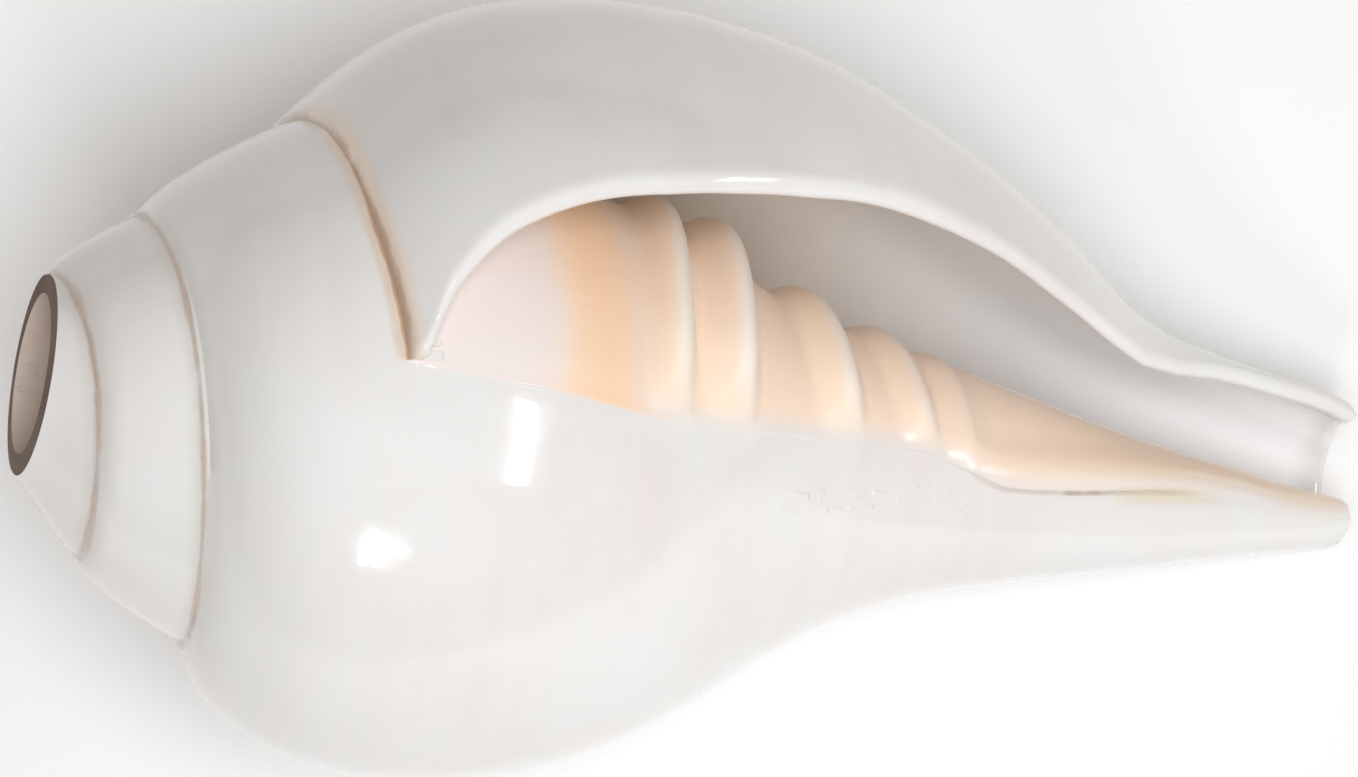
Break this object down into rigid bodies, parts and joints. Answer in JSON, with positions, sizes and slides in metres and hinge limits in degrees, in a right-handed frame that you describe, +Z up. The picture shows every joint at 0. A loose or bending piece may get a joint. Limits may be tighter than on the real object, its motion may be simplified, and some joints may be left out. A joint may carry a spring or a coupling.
{
  "type": "conch shell",
  "caption": "Right-handed blowing conch: a hollow spiral sea shell with a folded columella, a long open canal and a sawn-off apex to blow through.",
  "frame": {"origin": "on the surface the shell lies on, under the middle of its bounding box", "axes": "+Z up, +X along the shell towards the tip of its canal, with the sawn apex at -X and the aperture facing up"},
  "size_m": [0.1472, 0.0858, 0.0853],
  "materials": {
    "polished_shell": "polished natural shell: glossy white outside, peach inside the aperture, matt where the apex is sawn"
  },
  "bodies": {
    "root": {"shell": "polished_shell"}
  },
  "joints": []
}
